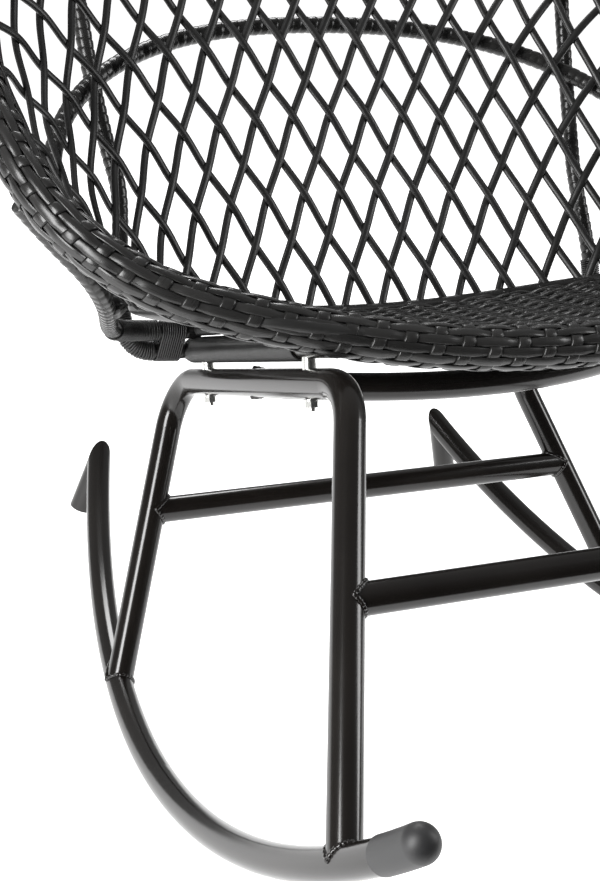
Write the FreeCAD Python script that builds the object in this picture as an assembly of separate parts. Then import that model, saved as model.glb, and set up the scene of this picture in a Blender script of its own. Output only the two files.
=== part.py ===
import FreeCAD, Part
import math
import os

os.makedirs("parts", exist_ok=True)
V = FreeCAD.Vector

# Frame: X across the chair, Y to the back, Z up, in millimetres.
# The origin is on the floor, midway between the points where the two runners touch it.
# The pieces are drawn with the middle of the runners level, and are leaned back as they are written.

BALANCE_LEAN = 8.5        # degrees that the empty chair leans back when it stands still

# Steel base
TUBE_D = 25.0
TUBE_WALL = 2.0
HALF_TRACK = 320.0        # from the middle plane to a side frame's plane, at the floor
SPLAY = 18.8              # degrees that each side frame leans in, going up
TOE = 5.5                 # degrees that each side frame turns in, going back
RUNNER_FRONT_R = 740.0
RUNNER_REAR_R = 680.0
RUNNER_FRONT_REACH = 432.0
RUNNER_REAR_REACH = 459.0
STOP_LENGTH = 58.0
STOP_ANGLE = 75.0         # degrees that the rear stop points below level
MITRE_SPARE = 40.0        # extra length of each tube at the stop's mitre, before it is cut
CAP_D = 27.0
CAP_COVER = 32.0          # length of the front cap over the runner
CAP_NECK = 4.0            # straight part of the cap beyond the runner's end
FRONT_FOOT = -354.0       # along the side frame, from the middle of the runner
REAR_FOOT = 176.0
FRONT_CORNER = (-127.0, 388.0)
REAR_CORNER = (280.0, 317.0)
FRONT_BEND_R = 60.0
REAR_BEND_R = 42.0
FRONT_BAR_HEIGHT = 248.0
REAR_BAR_HEIGHT = 193.0
BOW_FRONT = (13.0, 327.0)   # Y and Z of the under-seat bow at the middle plane
BOW_END = 62.0              # Y where the bow meets the side frames

# Seat rails and their fixings
RAIL_D = 20.0
RAIL_COVER_D = 25.0
RAIL_GAP = 5.0
RAIL_FRONT = -112.0
RAIL_REAR = 222.0
COVER_FRONT = -52.0
COVER_REAR = 210.0
STUD_D = 6.0
STUD_HOLE_D = 6.6
STUD_PLACES = (-62.0, 176.0)
WASHER_D = 12.0
WASHER_T = 1.6
NUT_ACROSS = 10.0
NUT_T = 5.0
STUD_TAIL = 3.0
SPACER_D = 11.0

# Bowl
RIM_FRONT = (-130.0, 381.5)   # Y and Z of the rim's centre line at the front
RIM_TILT = 45.0
RIM_BACK_R = 424.0
RIM_BACK_CENTRE = 300.0       # along the rim's slope, from its front
RIM_CORNER_R = 185.0
RIM_FRONT_R = 760.0
RIM_TUBE_D = 19.0
RIM_TUBE_WALL = 1.2
RIM_WEAVE_D = 37.0
SEAT_LOW = (113.0, 364.0)     # Y and Z of the lowest point of the seat's dish
SEAT_DISH_R = 1180.0
SEAT_T = 8.0
SEAT_HALF_WIDTH = 300.0
SEAT_MIDDLE = 40.0
SEAT_TO_BACK = 170.0
SEAT_TO_FRONT = 166.0
SEAT_SQUARENESS = (2.8, 6.0)   # of the outline's back half and front half; 2 is an ellipse
CORD_D = 8.0
CORD_CLEAR = 0.8
CORDS_EACH_WAY = 24
CORD_PITCH = 37.5             # along the seat's edge
CORD_SPANS = 3
CORD_LEAN = 7.25              # pitches that a cord moves sideways on its way up the tall back
LATTICE_SECTOR = 0.5          # share of the half wall, from the back, where a side wall begins
SEAT_RUN = 480.0              # along the seat's edge, from the back to the lattice's end
RIM_RUN = 850.0               # along the rim, from the back to the lattice's end
RIM_EVEN = 0.7                # 1 would spread the cords evenly along the rim
WALL_BULGE = 26.0
BACK_ROUNDNESS = 0.25         # bulge of the back, as a share of the sides'
FRAME_D = 16.0                # wrapped ribs
BACK_RIB_PLACES = (0.48, 0.45)   # at the foot and at the rim
BACK_RIB_SHARES = (0.3, 0.5, 0.75, 1.0)   # of the wall's height, where the rib follows it
SIDE_RIB_PLACES = (0.90, 0.95)
SIDE_RIB_SHARES = (0.5, 0.75, 1.0)
RIB_CLEAR = 1.0
FOOT_WAY = (-1.0, 0.0, 0.06)   # the way that the rib feet run out of the rail
FOOT_TILT = 30.0               # degrees that the upper foot leans to the front
FOOT_LENGTH = 42.0
FOOT_SPACING = 24.0
HOOP_D = 17.0
HOOP_CENTRE = (300.0, 621.0)  # Y and Z of a point of the hoop's sloping plane
HOOP_SLOPE = 0.9
HOOP_END = 0.80
HOOP_SPANS = 10
HOOP_NOTCH = 1.0              # depth by which each back rib is let into the hoop

# Lashings
LASH_LOOPS = 11
LASH_CORD_D = 1.7
LASH_PITCH = 2.2
LASH_CLEAR = 0.5
LASH_START = 16.0

# Fineness of the working
OUTLINE_POINTS = 72           # of the seat's outline curve
SEAT_STEPS = 720              # on half the seat's outline
RIM_STEPS = (200, 100)        # on the rim's back arc, and on each of its other arcs
PLACE_NUDGE = 0.01            # for directions along the wall
SHARE_NUDGE = 0.002           # for directions up the wall
STRAIGHT_BELOW = 0.005        # an arc with a lower crown is drawn as a line
HALVINGS = 40                 # when the hoop's height is searched
TRAIL_POINTS = 9              # on each edge, when the lashing's gaps are measured


def leaned(shape):
    """A shape or point of the drawing, in the pose in which the chair stands."""
    if isinstance(shape, V):
        return FreeCAD.Rotation(V(1, 0, 0), -BALANCE_LEAN).multVec(shape)
    return shape.rotated(V(0, 0, 0), V(1, 0, 0), -BALANCE_LEAN)


def write(name, drawn):
    shape = leaned(drawn).translated(stand)
    shape.exportStep("parts/" + name + ".step")
    print(name, len(shape.Solids), "solid(s)", round(shape.Volume / 1000, 1), "cm3")


def section(point, direction, outer, inner=0.0):
    """A round face, with a hole when inner is given."""
    disc = Part.Face(Part.Wire(Part.makeCircle(outer, point, direction)))
    if inner <= 0:
        return disc
    return disc.cut(Part.Face(Part.Wire(Part.makeCircle(inner, point, direction))))


def straight(start, end, outer, inner=0.0):
    return section(start, end - start, outer, inner).extrude(end - start)


def arc_centre(a, b, c):
    """Centre and axis of the circle through three points."""
    ab = b - a
    ac = c - a
    axis = ab.cross(ac)
    centre = a + (axis.cross(ab) * ac.dot(ac) + ac.cross(axis) * ab.dot(ab)) * (0.5 / axis.dot(axis))
    return centre, axis.normalize()


def arc_run(a, b, c, outer, inner=0.0):
    """A tube along the arc from a through b to c."""
    centre, axis = arc_centre(a, b, c)
    first = a - centre
    last = c - centre
    turn = math.degrees(math.atan2(axis.dot(first.cross(last)), first.dot(last))) % 360.0
    return section(a, axis.cross(first), outer, inner).revolve(centre, axis, turn)


def joined(pieces):
    shape = pieces[0]
    if len(pieces) > 1:
        shape = pieces[0].multiFuse(pieces[1:]).removeSplitter()
    return shape


def bent_tube(points, radii, outer, inner=0.0):
    """Straight runs between the points, with a tangent bend at each inner one."""
    runs = []
    here = points[0]
    for i in range(1, len(points) - 1):
        back = (points[i - 1] - points[i]).normalize()
        ahead = (points[i + 1] - points[i]).normalize()
        half = back.getAngle(ahead) / 2
        reach = radii[i - 1] / math.tan(half)
        middle = (back + ahead).normalize()
        nearest = points[i] + middle * (radii[i - 1] / math.sin(half) - radii[i - 1])
        start = points[i] + back * reach
        end = points[i] + ahead * reach
        runs.append(straight(here, start, outer, inner))
        runs.append(arc_run(start, nearest, end, outer, inner))
        here = end
    runs.append(straight(here, points[-1], outer, inner))
    return joined(runs)


def mirrored(shape):
    return shape.mirror(V(0, 0, 0), V(1, 0, 0))


def flipped(point):
    return V(-point.x, point.y, point.z)


def bounded(shape, point, direction):
    """Cuts off what lies just beyond a plane."""
    size = 4 * MITRE_SPARE
    block = Part.makeBox(size, size, size, V(-size / 2, -size / 2, 0))
    block.Placement = FreeCAD.Placement(point, FreeCAD.Rotation(V(0, 0, 1), direction))
    return shape.cut(block)


# The left side frame lies in one leaning plane
tube_r = TUBE_D / 2
tube_bore = tube_r - TUBE_WALL
splay = math.radians(SPLAY)
toe = math.radians(TOE)
along = V(math.sin(toe), math.cos(toe), 0)
upward = V(math.sin(splay) * math.cos(toe), -math.sin(splay) * math.sin(toe), math.cos(splay))
frame_origin = V(-HALF_TRACK, 0, 0)


def side(a, b):
    """A point of the left side frame, from its distance along and its height in the leaning plane."""
    return frame_origin + along * a + upward * b


low = tube_r / math.cos(splay)


def runner_height(a):
    radius = RUNNER_REAR_R if a > 0 else RUNNER_FRONT_R
    return low + radius - math.sqrt(radius * radius - a * a)


def runner_point(a):
    return side(a, runner_height(a))


def runner_direction(a):
    radius = RUNNER_REAR_R if a > 0 else RUNNER_FRONT_R
    lift = a / radius
    return along * math.sqrt(1 - lift * lift) + upward * lift


# The chair stands on the rear arcs, where they are level once it leans back
lean = math.radians(BALANCE_LEAN)
level_drop = math.cos(toe) * math.sin(lean)
level_rise = math.cos(splay) * math.cos(lean) + math.sin(splay) * math.sin(toe) * math.sin(lean)
touch = leaned(runner_point(RUNNER_REAR_R * math.sin(math.atan2(level_drop, level_rise))))
stand = V(0, -touch.y, tube_r - touch.z)
print("runners touch the floor at X", round(touch.x, 1), "and", round(-touch.x, 1), "mm")

# Runners: two tangent arcs that meet in the middle
front_end = -RUNNER_FRONT_REACH
rear_end = RUNNER_REAR_REACH


def runner_body(outer, inner):
    front = arc_run(runner_point(front_end), runner_point(front_end / 2), runner_point(0), outer, inner)
    rear = arc_run(runner_point(0), runner_point(rear_end / 2), runner_point(rear_end), outer, inner)
    tail = runner_point(rear_end)
    extra = straight(tail, tail + runner_direction(rear_end) * MITRE_SPARE, outer, inner)
    return joined([front, rear, extra])


stop_dip = math.radians(STOP_ANGLE)
stop_direction = along * math.cos(stop_dip) - upward * math.sin(stop_dip)
corner = runner_point(rear_end)
mitre = (runner_direction(rear_end) + stop_direction).normalize()
left_runner = bounded(runner_body(tube_r, tube_bore), corner, mitre)
runner_solid = bounded(runner_body(tube_r, 0), corner, mitre)
stop_start = corner - stop_direction * MITRE_SPARE
stop_long = straight(stop_start, corner + stop_direction * STOP_LENGTH, tube_r, tube_bore)
left_stop = bounded(stop_long, corner, mitre * -1)

# Front caps: a sleeve over the runner's end with a domed nose
cap_start = front_end + CAP_COVER
nose = runner_point(front_end)
outward = runner_direction(front_end) * -1
cap_r = CAP_D / 2
cap_body = arc_run(runner_point(cap_start), runner_point((cap_start + front_end) / 2), nose, cap_r)
dome_centre = nose + outward * CAP_NECK
cap_neck = straight(nose, dome_centre, cap_r)
dome = Part.makeSphere(cap_r, dome_centre)
left_cap = joined([cap_body, cap_neck, dome]).cut(runner_solid)

# Leg frame: foot, front bend, top tube, rear bend, foot
leg_points = [
    runner_point(FRONT_FOOT), side(*FRONT_CORNER), side(*REAR_CORNER), runner_point(REAR_FOOT)]
bend_radii = [FRONT_BEND_R, REAR_BEND_R]
left_legs = bent_tube(leg_points, bend_radii, tube_r, tube_bore).cut(runner_solid)
legs_solid = bent_tube(leg_points, bend_radii, tube_r)


def on_leg(foot, knee, height):
    """A leg's centre line at a height in the side frame's plane."""
    share = (height - runner_height(foot)) / (knee[1] - runner_height(foot))
    return side(foot + (knee[0] - foot) * share, height)


def crossbar(end):
    bar = straight(end, flipped(end), tube_r, tube_bore)
    return bar.cut(legs_solid).cut(mirrored(legs_solid))


front_bar = crossbar(on_leg(FRONT_FOOT, FRONT_CORNER, FRONT_BAR_HEIGHT))
rear_bar = crossbar(on_leg(REAR_FOOT, REAR_CORNER, REAR_BAR_HEIGHT))


# Top tube and the rail above it
top_front = side(*FRONT_CORNER)
top_rear = side(*REAR_CORNER)
top_direction = (top_rear - top_front).normalize()
raise_direction = (V(0, 0, 1) - top_direction * top_direction.z).normalize()
rail_lift = tube_r + RAIL_GAP + RAIL_COVER_D / 2


def top_point(y):
    return top_front + (top_rear - top_front) * ((y - top_front.y) / (top_rear.y - top_front.y))


def rail_point(y):
    return top_point(y) + raise_direction * rail_lift


bow_left = top_point(BOW_END)
under_bow = arc_run(bow_left, V(0, *BOW_FRONT), flipped(bow_left), tube_r, tube_bore)
under_bow = under_bow.cut(legs_solid).cut(mirrored(legs_solid))

# Rim: a flattened ring in one sloping plane, made of tangent arcs
tilt = math.radians(RIM_TILT)


def rim_place(x, s):
    """A point of the rim's plane, s up its slope from the front."""
    return V(x, RIM_FRONT[0] + s * math.cos(tilt), RIM_FRONT[1] + s * math.sin(tilt))


front_gap = RIM_FRONT_R - RIM_CORNER_R
back_gap = RIM_BACK_R - RIM_CORNER_R
between = RIM_FRONT_R - RIM_BACK_CENTRE
corner_down = (front_gap ** 2 - back_gap ** 2 - between ** 2) / (2 * between)
corner_s = RIM_BACK_CENTRE - corner_down
corner_x = math.sqrt(back_gap ** 2 - corner_down ** 2)
corner_turn = math.atan2(corner_x, corner_s - RIM_BACK_CENTRE)
front_turn = math.atan2(corner_x, RIM_FRONT_R - corner_s)


def back_arc(turn):
    return rim_place(RIM_BACK_R * math.sin(turn), RIM_BACK_CENTRE + RIM_BACK_R * math.cos(turn))


def corner_arc(turn):
    return rim_place(corner_x + RIM_CORNER_R * math.sin(turn), corner_s + RIM_CORNER_R * math.cos(turn))


def front_arc(turn):
    return rim_place(RIM_FRONT_R * math.sin(turn), RIM_FRONT_R - RIM_FRONT_R * math.cos(turn))


def rim_body(outer, inner):
    middle_turn = (corner_turn + math.pi - front_turn) / 2
    corner_run = [corner_arc(corner_turn), corner_arc(middle_turn), corner_arc(math.pi - front_turn)]
    runs = [
        arc_run(back_arc(-corner_turn), back_arc(-corner_turn / 2), back_arc(0), outer, inner),
        arc_run(back_arc(0), back_arc(corner_turn / 2), back_arc(corner_turn), outer, inner),
        arc_run(*corner_run, outer, inner),
        arc_run(*[flipped(p) for p in corner_run], outer, inner),
        arc_run(front_arc(-front_turn), front_arc(0), front_arc(front_turn), outer, inner)]
    return joined(runs)


rim_r = RIM_WEAVE_D / 2
rim_solid = rim_body(rim_r, 0)
rim_weave = rim_body(rim_r, RIM_TUBE_D / 2)
rim_tube = rim_body(RIM_TUBE_D / 2, RIM_TUBE_D / 2 - RIM_TUBE_WALL)

# Rails, their wound covers and the fixings
rail_solid = straight(rail_point(RAIL_FRONT), rail_point(RAIL_REAR), RAIL_D / 2)
cover_solid = straight(rail_point(COVER_FRONT), rail_point(COVER_REAR), RAIL_COVER_D / 2)
left_rail = straight(rail_point(RAIL_FRONT), rail_point(RAIL_REAR), RAIL_D / 2, RAIL_D / 2 - TUBE_WALL)
left_cover = straight(rail_point(COVER_FRONT), rail_point(COVER_REAR), RAIL_COVER_D / 2, RAIL_D / 2)
left_rail = left_rail.cut(rim_solid)
left_cover = left_cover.cut(rim_solid)
studs = []
nuts = []
washers = []
spacers = []
for y in STUD_PLACES:
    base = top_point(y)
    foot = base - raise_direction * tube_r
    stud_top = base + raise_direction * rail_lift
    drill = straight(base - raise_direction * TUBE_D, stud_top, STUD_HOLE_D / 2)
    left_legs = left_legs.cut(drill)
    left_cover = left_cover.cut(drill)
    washer_low = foot - raise_direction * WASHER_T
    nut_low = washer_low - raise_direction * NUT_T
    stud = straight(nut_low - raise_direction * STUD_TAIL, stud_top, STUD_D / 2)
    left_rail = left_rail.cut(stud)
    studs.append(stud)
    washers.append(straight(washer_low, foot, WASHER_D / 2, STUD_D / 2))
    nut_r = NUT_ACROSS / math.sqrt(3)
    corners = []
    for k in range(7):
        corners.append(V(nut_r * math.cos(k * math.pi / 3), nut_r * math.sin(k * math.pi / 3), 0))
    hexagon = Part.Face(Part.makePolygon(corners)).extrude(V(0, 0, NUT_T))
    hexagon = hexagon.cut(Part.makeCylinder(STUD_D / 2, NUT_T))
    hexagon.Placement = FreeCAD.Placement(nut_low, FreeCAD.Rotation(V(0, 0, 1), raise_direction))
    nuts.append(hexagon)
    spacer = straight(base, stud_top, SPACER_D / 2, STUD_D / 2)
    spacers.append(spacer.cut(legs_solid).cut(rail_solid).cut(cover_solid))


# Bowl wall: a lattice between the seat's edge and the rim
def power(value, exponent):
    return math.copysign(abs(value) ** exponent, value)


def dish_height(x, y):
    return SEAT_LOW[1] + (x * x + (y - SEAT_LOW[0]) ** 2) / (2 * SEAT_DISH_R)


def seat_edge(turn):
    """The edge of the seat, at an angle from the back."""
    depth = SEAT_TO_BACK if math.cos(turn) > 0 else SEAT_TO_FRONT
    squareness = SEAT_SQUARENESS[0] if math.cos(turn) > 0 else SEAT_SQUARENESS[1]
    x = SEAT_HALF_WIDTH * power(math.sin(turn), 2 / squareness)
    y = SEAT_MIDDLE + depth * power(math.cos(turn), 2 / squareness)
    return V(x, y, dish_height(x, y))


def distance_run(points):
    """A function that finds the point at a distance along a line of points; a minus sign mirrors it."""
    marks = [0.0]
    for a, b in zip(points, points[1:]):
        marks.append(marks[-1] + a.distanceToPoint(b))

    def at(distance):
        k = 0
        while k < len(points) - 2 and marks[k + 1] < abs(distance):
            k += 1
        share = (abs(distance) - marks[k]) / (marks[k + 1] - marks[k])
        here = points[k] + (points[k + 1] - points[k]) * share
        return V(math.copysign(here.x, distance), here.y, here.z)

    return at


def spread(start, end, count):
    return [start + (end - start) * k / count for k in range(count + 1)]


seat_run = distance_run([seat_edge(turn) for turn in spread(0, math.pi, SEAT_STEPS)])
half_rim = [back_arc(turn) for turn in spread(0, corner_turn, RIM_STEPS[0])]
half_rim += [corner_arc(turn) for turn in spread(corner_turn, math.pi - front_turn, RIM_STEPS[1])[1:]]
half_rim += [front_arc(turn) for turn in spread(front_turn, 0, RIM_STEPS[1])[1:]]
rim_run = distance_run(half_rim)


def wall_line(place):
    """Foot and top of the wall; place runs from -1 through 0 at the back to 1."""
    rim_share = RIM_EVEN * place + (1 - RIM_EVEN) * place ** 3
    return seat_run(SEAT_RUN * place), rim_run(RIM_RUN * rim_share)


def wall_rise(place):
    low_point, high_point = wall_line(place)
    return low_point.distanceToPoint(high_point)


tall = wall_rise(0)


def wall(place, share, out=0.0):
    """A point of the wall, share of the way from the seat to the rim, moved out of its surface."""
    low_point, high_point = wall_line(place)
    low_before, high_before = wall_line(place - PLACE_NUDGE)
    low_after, high_after = wall_line(place + PLACE_NUDGE)
    rise = high_point - low_point
    across = (low_after - low_before) * (1 - share) + (high_after - high_before) * share
    normal = rise.cross(across).normalize()
    roundness = BACK_ROUNDNESS + (1 - BACK_ROUNDNESS) * math.sin(math.pi / 2 * place) ** 2
    swell = WALL_BULGE * roundness * rise.Length / tall * 4 * share * (1 - share)
    return low_point + rise * share + normal * (swell + out)


def arc_edge(a, apex, b):
    """The arc from a to b whose end tangents meet at apex."""
    flat = a.distanceToPoint(b) / 2 / a.distanceToPoint(apex)
    crown = (a + b + apex * (2 * flat)) * (1 / (2 + 2 * flat))
    if crown.distanceToPoint((a + b) * 0.5) < STRAIGHT_BELOW:
        return Part.makeLine(a, b)
    return Part.Arc(a, crown, b).toShape()


def arc_pair(a, go, b, stop):
    """Two tangent arcs from a, leaving along go, to b, arriving along stop."""
    chord = b - a
    lead = chord.dot(go + stop)
    reach = chord.dot(chord) / (lead + math.sqrt(lead * lead + 2 * (1 - go.dot(stop)) * chord.dot(chord)))
    first_apex = a + go * reach
    second_apex = b - stop * reach
    middle = (first_apex + second_apex) * 0.5
    return [arc_edge(a, first_apex, middle), arc_edge(middle, second_apex, b)]


def node_at(path, share):
    """A path's point and direction."""
    return path(share), (path(share + SHARE_NUDGE) - path(share - SHARE_NUDGE)).normalize()


def round_bar(nodes, radius):
    """A round bar through points with directions."""
    edges = []
    for (a, go), (b, stop) in zip(nodes, nodes[1:]):
        edges.extend(arc_pair(a, go, b, stop))
    ring = Part.Wire(Part.makeCircle(radius, nodes[0][0], nodes[0][1]))
    return Part.Wire(edges).makePipeShell([ring], True, False)


pitch = CORD_PITCH / SEAT_RUN


def cord(place, way, out):
    """One lattice cord, leaning one way as it climbs the wall."""
    sideways = way * CORD_LEAN * pitch * wall_rise(place) / tall

    def path(share):
        return wall(place + sideways * (share - 0.5), share, out)

    return round_bar([node_at(path, share) for share in spread(0, 1, CORD_SPANS)], CORD_D / 2)


# The seat is a dished woven panel
seat_points = [seat_edge(2 * math.pi * k / OUTLINE_POINTS) for k in range(OUTLINE_POINTS)]
curve = Part.BSplineCurve()
curve.interpolate([V(p.x, p.y, 0) for p in seat_points], PeriodicFlag=True)
prism = Part.Face(Part.Wire(curve.toShape())).extrude(V(0, 0, SEAT_DISH_R))
dish_middle = V(0, SEAT_LOW[0], SEAT_LOW[1] + SEAT_DISH_R)
# The balls' poles lie far in front of the seat and behind it
outer_ball = Part.makeSphere(SEAT_DISH_R + SEAT_T / 2, dish_middle, V(0, 1, 0))
inner_ball = Part.makeSphere(SEAT_DISH_R - SEAT_T / 2, dish_middle, V(0, 1, 0))
seat = prism.common(outer_ball.cut(inner_ball)).cut(rim_solid)
for part in (rail_solid, cover_solid):
    seat = seat.cut(part).cut(mirrored(part))


def largest(shape):
    return max(shape.Solids, key=lambda solid: solid.Volume)


# Lattice cords, two layers that lean opposite ways
layer_out = (CORD_D + CORD_CLEAR) / 2
layers = {"inner": (1, -layer_out), "outer": (-1, layer_out)}
lattice = {}
for layer, (way, out) in layers.items():
    for k in range(CORDS_EACH_WAY):
        place = pitch * (k - (CORDS_EACH_WAY - 1) / 2)
        sector = "left" if place < 0 else "right"
        if abs(place) < LATTICE_SECTOR:
            sector = "back_" + sector
        strand = largest(cord(place, way, out).cut(rim_solid).cut(seat))
        lattice.setdefault(sector + "_wall_" + layer + "_cords", []).append(strand)

# Rib feet run side by side out of the rail's rear end. The ribs climb outside the lattice,
# the back one over the hoop.
skin = CORD_D + CORD_CLEAR / 2
rib_out = skin + FRAME_D / 2 + RIB_CLEAR
hoop_out = skin + HOOP_D / 2 + RIB_CLEAR
foot_way = V(*FOOT_WAY).normalize()
foot_tilt = math.radians(FOOT_TILT)
foot_up = V(0, -math.sin(foot_tilt), math.cos(foot_tilt))
foot_up = (foot_up - foot_way * foot_way.dot(foot_up)).normalize()
foot_root = rail_point(RAIL_REAR - FRAME_D / 2)
upper_root = foot_root + foot_up * FOOT_SPACING


def rib(root, places, shares, step_out):
    """A rib that stands step_out further from the wall half-way up than at its ends."""
    def path(share):
        place = places[0] + (places[1] - places[0]) * share
        return wall(-place, share, rib_out + step_out * math.sin(math.pi * share))

    nodes = [(root, foot_way), (root + foot_way * FOOT_LENGTH, foot_way)]
    nodes += [node_at(path, share) for share in shares]
    return largest(round_bar(nodes, FRAME_D / 2).cut(rim_solid))


left_side_rib = rib(upper_root, SIDE_RIB_PLACES, SIDE_RIB_SHARES, 0)
left_back_rib = rib(foot_root, BACK_RIB_PLACES, BACK_RIB_SHARES, HOOP_D - HOOP_NOTCH)
left_back_rib = largest(left_back_rib.cut(rail_solid))
left_cover = left_cover.cut(left_back_rib).cut(left_side_rib)


def hoop_path(share):
    """The hoop keeps to one sloping plane, below the rim's."""
    place = HOOP_END * (2 * share - 1)
    low_share = 0.0
    high_share = 1.0
    for _ in range(HALVINGS):
        trial = (low_share + high_share) / 2
        here = wall(place, trial, hoop_out)
        if here.z - HOOP_CENTRE[1] < HOOP_SLOPE * (here.y - HOOP_CENTRE[0]):
            low_share = trial
        else:
            high_share = trial
    return wall(place, trial, hoop_out)


hoop = round_bar([node_at(hoop_path, share) for share in spread(0, 1, HOOP_SPANS)], HOOP_D / 2)
for rib_piece in (left_side_rib, left_back_rib):
    hoop = largest(hoop.cut(rib_piece).cut(mirrored(rib_piece)))

# Lashing: one cord wound round both rib feet
wind_r = FRAME_D / 2 + LASH_CLEAR + LASH_CORD_D / 2
foot_side = foot_way.cross(foot_up)
loop_length = 2 * FOOT_SPACING + 2 * math.pi * wind_r
line_share = FOOT_SPACING / loop_length


def lash_point(up, side_step, turns):
    lift = foot_up * (FOOT_SPACING / 2 + up)
    return foot_root + foot_way * (LASH_START + LASH_PITCH * turns) + lift + foot_side * side_step


edges = []
trail = []
half_foot = FOOT_SPACING / 2
for k in range(LASH_LOOPS):
    t0 = k
    t1 = k + line_share
    t2 = k + 0.5
    t3 = k + 0.5 + line_share
    t4 = k + 1
    rise_start = lash_point(-half_foot, wind_r, t0)
    rise_end = lash_point(half_foot, wind_r, t1)
    over = lash_point(half_foot + wind_r, 0, (t1 + t2) / 2)
    fall_start = lash_point(half_foot, -wind_r, t2)
    fall_end = lash_point(-half_foot, -wind_r, t3)
    under = lash_point(-half_foot - wind_r, 0, (t3 + t4) / 2)
    close = lash_point(-half_foot, wind_r, t4)
    edges.append(Part.makeLine(rise_start, rise_end))
    edges.append(Part.Arc(rise_end, over, fall_start).toShape())
    edges.append(Part.makeLine(fall_start, fall_end))
    edges.append(Part.Arc(fall_end, under, close).toShape())
    for edge in edges[-4:]:
        trail.append(edge.discretize(TRAIL_POINTS)[:-1])
loops = [sum(trail[4 * k:4 * k + 4], []) for k in range(LASH_LOOPS)]
gap = min(p.distanceToPoint(q) for a, b in zip(loops, loops[1:]) for p in a for q in b) - LASH_CORD_D
print("lashing: least gap to itself", round(gap, 2), "mm")
wind_start = lash_point(-half_foot, wind_r, 0)
wind_way = edges[0].tangentAt(edges[0].FirstParameter)
ring = Part.Wire(Part.makeCircle(LASH_CORD_D / 2, wind_start, wind_way))
left_lashing = Part.Wire(edges).makePipeShell([ring], True, False)

both_sides = {
    "runner": left_runner, "rear_stop": left_stop, "front_cap": left_cap, "leg_frame": left_legs,
    "seat_rail": left_rail, "rail_winding": left_cover, "side_rib": left_side_rib,
    "back_rib": left_back_rib, "lashing": left_lashing}
for name, shape in both_sides.items():
    write("left_" + name, shape)
    write("right_" + name, mirrored(shape))
fixings = {"seat_studs": studs, "seat_nuts": nuts, "seat_washers": washers, "rail_spacers": spacers}
for name, pieces in fixings.items():
    write(name, Part.makeCompound(pieces + [mirrored(piece) for piece in pieces]))
for name, pieces in lattice.items():
    write(name, Part.makeCompound(pieces))
singles = {
    "front_crossbar": front_bar, "rear_crossbar": rear_bar, "under_seat_bow": under_bow,
    "rim_tube": rim_tube, "rim_weave": rim_weave, "mid_hoop": hoop, "seat_weave": seat}
for name, shape in singles.items():
    write(name, shape)
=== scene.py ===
# %% [markdown]
# A rocking chair with a woven bowl: a bent steel tube base on two curved runners,
# and a bucket seat of rattan. The steel pieces come from the construction model
# and only need a finish. The woven pieces are made here, strand by strand,
# because a weave is seen by its gaps, its bumps and the shade between its strands.

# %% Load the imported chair
import math
import bmesh
import bpy
import numpy as np
from mathutils import Euler, Matrix, Vector


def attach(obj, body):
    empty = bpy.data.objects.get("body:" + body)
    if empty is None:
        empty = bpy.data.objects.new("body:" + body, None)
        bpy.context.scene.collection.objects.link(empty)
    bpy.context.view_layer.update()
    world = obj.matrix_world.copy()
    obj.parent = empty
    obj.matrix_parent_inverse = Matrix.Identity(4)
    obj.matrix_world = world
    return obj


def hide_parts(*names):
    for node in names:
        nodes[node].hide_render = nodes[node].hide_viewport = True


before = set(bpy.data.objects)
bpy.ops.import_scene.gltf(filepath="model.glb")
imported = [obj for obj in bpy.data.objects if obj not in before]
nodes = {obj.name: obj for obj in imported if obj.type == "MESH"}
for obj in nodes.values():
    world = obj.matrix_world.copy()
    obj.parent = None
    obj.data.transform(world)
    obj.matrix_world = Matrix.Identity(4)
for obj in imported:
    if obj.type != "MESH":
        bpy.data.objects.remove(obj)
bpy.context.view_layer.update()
mm = 0.001
X_WAY, Y_WAY, Z_WAY = np.eye(3)
print("loaded", len(nodes), "construction pieces")

# %% [markdown]
# The chair is easiest to draw with the middle of its runners level. Empty, it really stands
# leaned back a little, on the part of the runners that is level then. So everything is drawn
# level and then leaned: one turn about X and one small shift that puts the runners back
# on the floor.

# %% Level drawing and standing pose
BALANCE_LEAN = math.radians(8.5)
TUBE_R = 12.5 * mm
HALF_TRACK = 320.0 * mm
SPLAY = math.radians(18.8)
TOE = math.radians(5.5)
RUNNER_REAR_R = 680.0 * mm
side_way = np.array([math.sin(TOE), math.cos(TOE), 0.0])
side_up = np.array([
    math.sin(SPLAY) * math.cos(TOE), -math.sin(SPLAY) * math.sin(TOE), math.cos(SPLAY)])
lean_turn = np.array(Matrix.Rotation(-BALANCE_LEAN, 3, "X"))


def side_frame(a, b):
    """A point of the left side frame: a distance along the floor, a height in its leaning plane."""
    return np.array([-HALF_TRACK, 0.0, 0.0]) + side_way * a + side_up * b


level_drop = math.cos(TOE) * math.sin(BALANCE_LEAN)
level_rise = (
    math.cos(SPLAY) * math.cos(BALANCE_LEAN)
    + math.sin(SPLAY) * math.sin(TOE) * math.sin(BALANCE_LEAN))
touch_turn = math.atan2(level_drop, level_rise)
touch_height = TUBE_R / math.cos(SPLAY) + RUNNER_REAR_R * (1 - math.cos(touch_turn))
touch = lean_turn @ side_frame(RUNNER_REAR_R * math.sin(touch_turn), touch_height)
stand_shift = np.array([0.0, -touch[1], TUBE_R - touch[2]])


def standing(points):
    """Points of the level drawing, in the pose in which the chair stands."""
    return points @ lean_turn.T + stand_shift


print("the left runner touches the floor at X", round(float(touch[0]), 4), "m")

# %% [markdown]
# The camera stands in front of the chair, a little to its left, and looks slightly down.
# Its place and lens were worked out from the tube edges in the photograph, in the level drawing,
# so it is leaned with the chair. No shift is needed.

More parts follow.
